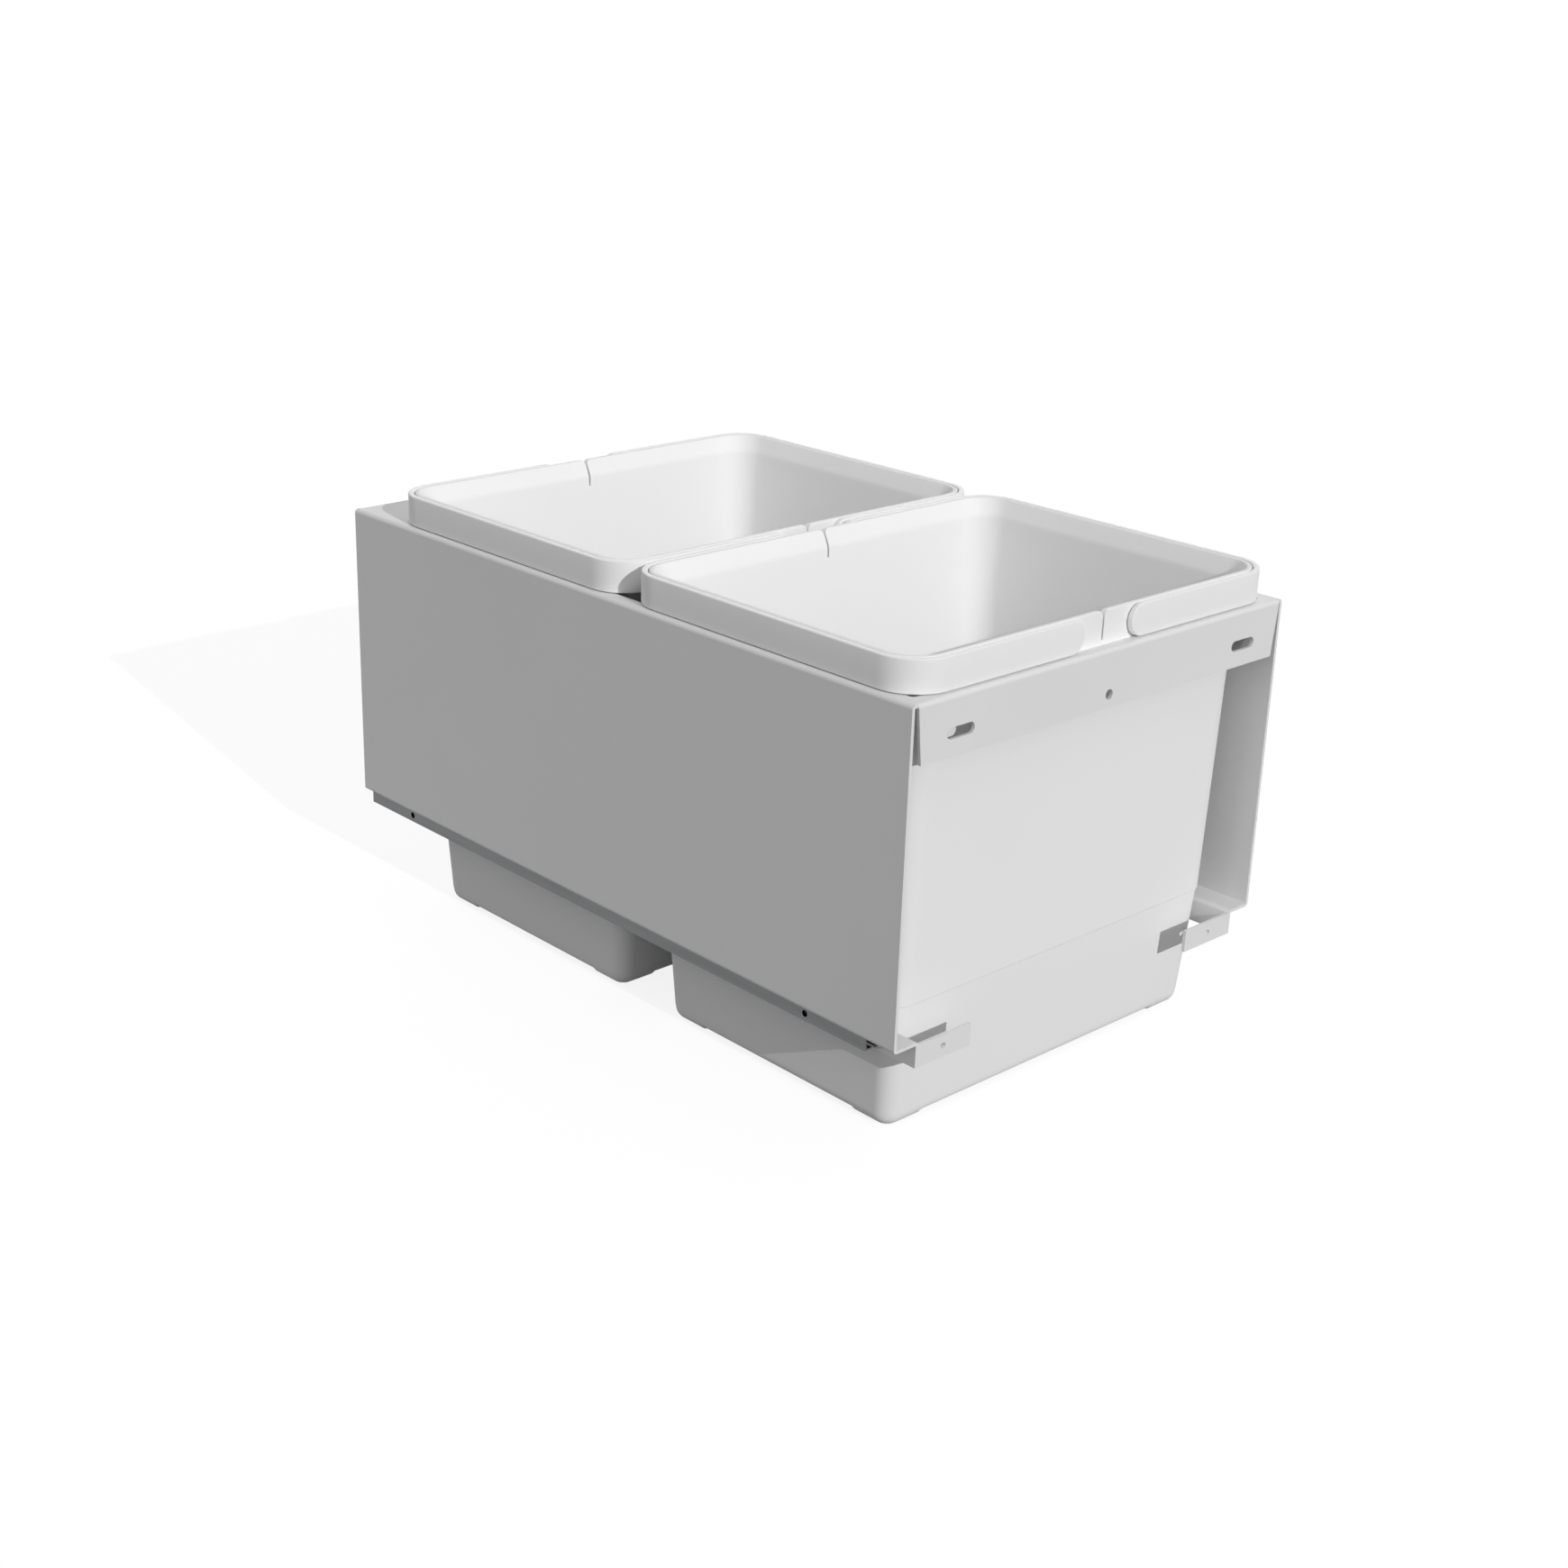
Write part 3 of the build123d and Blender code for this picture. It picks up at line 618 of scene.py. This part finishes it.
hoopTree, size = newTree("hoopBand", hoopShape)
whole = joined(hoopTree, bandOf(hoopTree, size), studsOf(hoopTree, size))
closeTree(hoopTree, moved(hoopTree, whole, size["Place"]), size["Finish"])
for name, y in binShape["places"].items():
    for hand, side in (("left", -1.0), ("right", 1.0)):
        node = name + "_" + hand + "_hoop"
        piece = makePiece(node + "_band", hoopTree, {**hoopShape, "Side": side, "Place": (0.0, y, 0.0)})
        standsFor(piece, node, node)


# runner balls: two rows for each cage

ballShape = {
    "Count": 8, "Pitch": 0.03, "Radius": 0.001, "Finish": ballSteel,
    "Rise": 0.0, "Place": (0.0, 0.0, 0.0),  # both come from the balls' own node
}


def rowAlong(tree, size, z=0.0):
    # evenly spaced points along Y, with their middle at 0
    start = vector(tree, y=size["Pitch"] * (size["Count"] - 1.0) * -0.5, z=z)
    return lineOf(tree, size["Count"], start, vector(tree, y=size["Pitch"]))


ballTree, size = newTree("ballRows", ballShape)
rows = [rowAlong(ballTree, size, size["Rise"] * up) for up in (-1.0, 1.0)]
ball = made(ballTree, "GeometryNodeMeshUVSphere", {"Segments": 12, "Rings": 8, "Radius": size["Radius"]})
closeTree(ballTree, moved(ballTree, onPoints(ballTree, joined(ballTree, *rows), ball), size["Place"]), size["Finish"])
for cage in ("inner", "outer"):
    for hand in ("left", "right"):
        node = cage + "_balls_" + hand
        low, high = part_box(node)
        middle = (low + high) / 2
        sizes = {**ballShape, "Rise": (high.z - low.z) / 2 - ballShape["Radius"], "Place": tuple(middle)}
        standsFor(makePiece(node + "_rows", ballTree, sizes), node, cage + "_cage_" + hand)


# rivets: one row for each side, flush with the turned-down flange

rivetShape = {
    "Count": 4, "Pitch": 0.14, "Shank Radius": 0.0016, "Head Radius": 0.0028, "Side": 1.0, "Finish": rivetAluminium,
    "Head Tip": 0.98,  # of the shank's radius, so that the head ends inside the shank
    "Length": 0.0, "Place": (0.0, 0.0, 0.0),  # both come from the rivets' own node
}


def coneOf(tree, bottom, top, length):
    return made(tree, "GeometryNodeMeshCone", {
        "Vertices": 24, "Radius Top": top, "Radius Bottom": bottom, "Depth": length})


rivetTree, size = newTree("rivetRow", rivetShape)
shankRadius, headRadius = size["Shank Radius"], size["Head Radius"]
shank = coneOf(rivetTree, shankRadius, shankRadius, size["Length"])
head = coneOf(rivetTree, headRadius, shankRadius * size["Head Tip"], headRadius - shankRadius)
turn = vector(rivetTree, y=size["Side"] * (math.pi / 2))
row = onPoints(rivetTree, rowAlong(rivetTree, size), joined(rivetTree, shank, head), turn)
closeTree(rivetTree, moved(rivetTree, row, size["Place"]), size["Finish"])
for hand, side in (("left", -1.0), ("right", 1.0)):
    node = "rail_rivets_" + hand
    low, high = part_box(node)
    inner = (low.x if side > 0 else high.x, (low.y + high.y) / 2, (low.z + high.z) / 2)
    sizes = {**rivetShape, "Side": side, "Length": high.x - low.x, "Place": inner}
    standsFor(makePiece(node + "_row", rivetTree, sizes), node, "carrier")
print("pieces grown")


# camera

view = {
    "azimuth": -41.618, "elevation": 21.143, "roll": 1.084, "distance": 1.4334, "focus": 2536.9,
    "target": (-0.0749, 0, 0.1217), "centre": (775, 879), "pixels": 1740, "sensor": 36, "clipEnd": 200,
}


def placeCamera(view):
    az, el, roll = (math.radians(view[k]) for k in ("azimuth", "elevation", "roll"))
    back = Vector((math.sin(az) * math.cos(el), -math.cos(az) * math.cos(el), math.sin(el)))
    right = (-back).cross(Vector((0, 0, 1))).normalized()
    up = back.cross(right)
    across = right * math.cos(roll) + up * math.sin(roll)
    camera = bpy.data.objects.new("camera", bpy.data.cameras.new("camera"))
    scene.collection.objects.link(camera)
    place = Matrix.Translation(Vector(view["target"]) + back * view["distance"])
    camera.matrix_world = place @ Matrix((across, back.cross(across), back)).transposed().to_4x4()
    camera.data.sensor_width = view["sensor"]
    camera.data.lens = view["focus"] / view["pixels"] * view["sensor"]
    camera.data.shift_x = (view["pixels"] / 2 - view["centre"][0]) / view["pixels"]
    camera.data.shift_y = (view["centre"][1] - view["pixels"] / 2) / view["pixels"]
    camera.data.clip_end = view["clipEnd"]
    scene.camera = camera


placeCamera(view)


# light and floor

light = {
    "front": 1.65, "frontAngle": 0.5, "frontDirection": (0.155, 0.896, -0.416),
    "fill": 0.5, "fillAngle": 40, "fillDirection": (-0.7, -0.6, -0.15),
    "sky": 0.43, "floorGlow": 0.86, "floorTone": 0.22, "floorReach": 60,
}


def placeSun(name, strength, angle, direction):
    sun = bpy.data.lights.new(name, "SUN")
    sun.energy = strength
    sun.angle = math.radians(angle)
    lamp = bpy.data.objects.new(name, sun)
    scene.collection.objects.link(lamp)
    lamp.rotation_euler = Vector(direction).to_track_quat("-Z", "Y").to_euler()


placeSun("frontLight", light["front"], light["frontAngle"], light["frontDirection"])
placeSun("fillLight", light["fill"], light["fillAngle"], light["fillDirection"])


def seenAsBackdrop(tree):
    # 1 where the camera, a reflection or a clear piece looks at the backdrop, 0 where it lights the object
    path = tree.nodes.new("ShaderNodeLightPath")
    return (Field(tree, path.outputs["Is Camera Ray"])
            .math("MAXIMUM", path.outputs["Is Glossy Ray"])
            .math("MAXIMUM", path.outputs["Is Transmission Ray"]))


world = bpy.data.worlds.new("studio")
world.use_nodes = True
scene.world = world
sky = world.node_tree
sky.nodes.clear()
strength = addNode(sky, "ShaderNodeMapRange", {"Value": seenAsBackdrop(sky), "To Min": light["sky"], "To Max": 1.0})
back = addNode(sky, "ShaderNodeBackground", {"Color": (1, 1, 1, 1), "Strength": strength.outputs["Result"]})
worldOut = sky.nodes.new("ShaderNodeOutputWorld")
sky.links.new(back.outputs[0], worldOut.inputs["Surface"])

floorMesh = bpy.data.meshes.new("floor")
reach = light["floorReach"]
corners = [(-reach, -reach, 0), (reach, -reach, 0), (reach, reach, 0), (-reach, reach, 0)]
floorMesh.from_pydata(corners, [], [(0, 1, 2, 3)])
floor = bpy.data.objects.new("floor", floorMesh)
scene.collection.objects.link(floor)
floorMat = newMaterial("floor")
tree = floorMat.node_tree
glow = seenAsBackdrop(tree) * light["floorGlow"]
shader = addNode(tree, "ShaderNodeBsdfPrincipled", {
    "Base Color": (*[light["floorTone"]] * 3, 1), "Roughness": 0.9, "Specular IOR Level": 0.0,
    "Emission Color": (1, 1, 1, 1), "Emission Strength": glow})
out = tree.nodes.new("ShaderNodeOutputMaterial")
tree.links.new(shader.outputs[0], out.inputs["Surface"])
floorMesh.materials.append(floorMat)
scene.view_settings.view_transform = "Standard"
print("camera, light and floor placed")
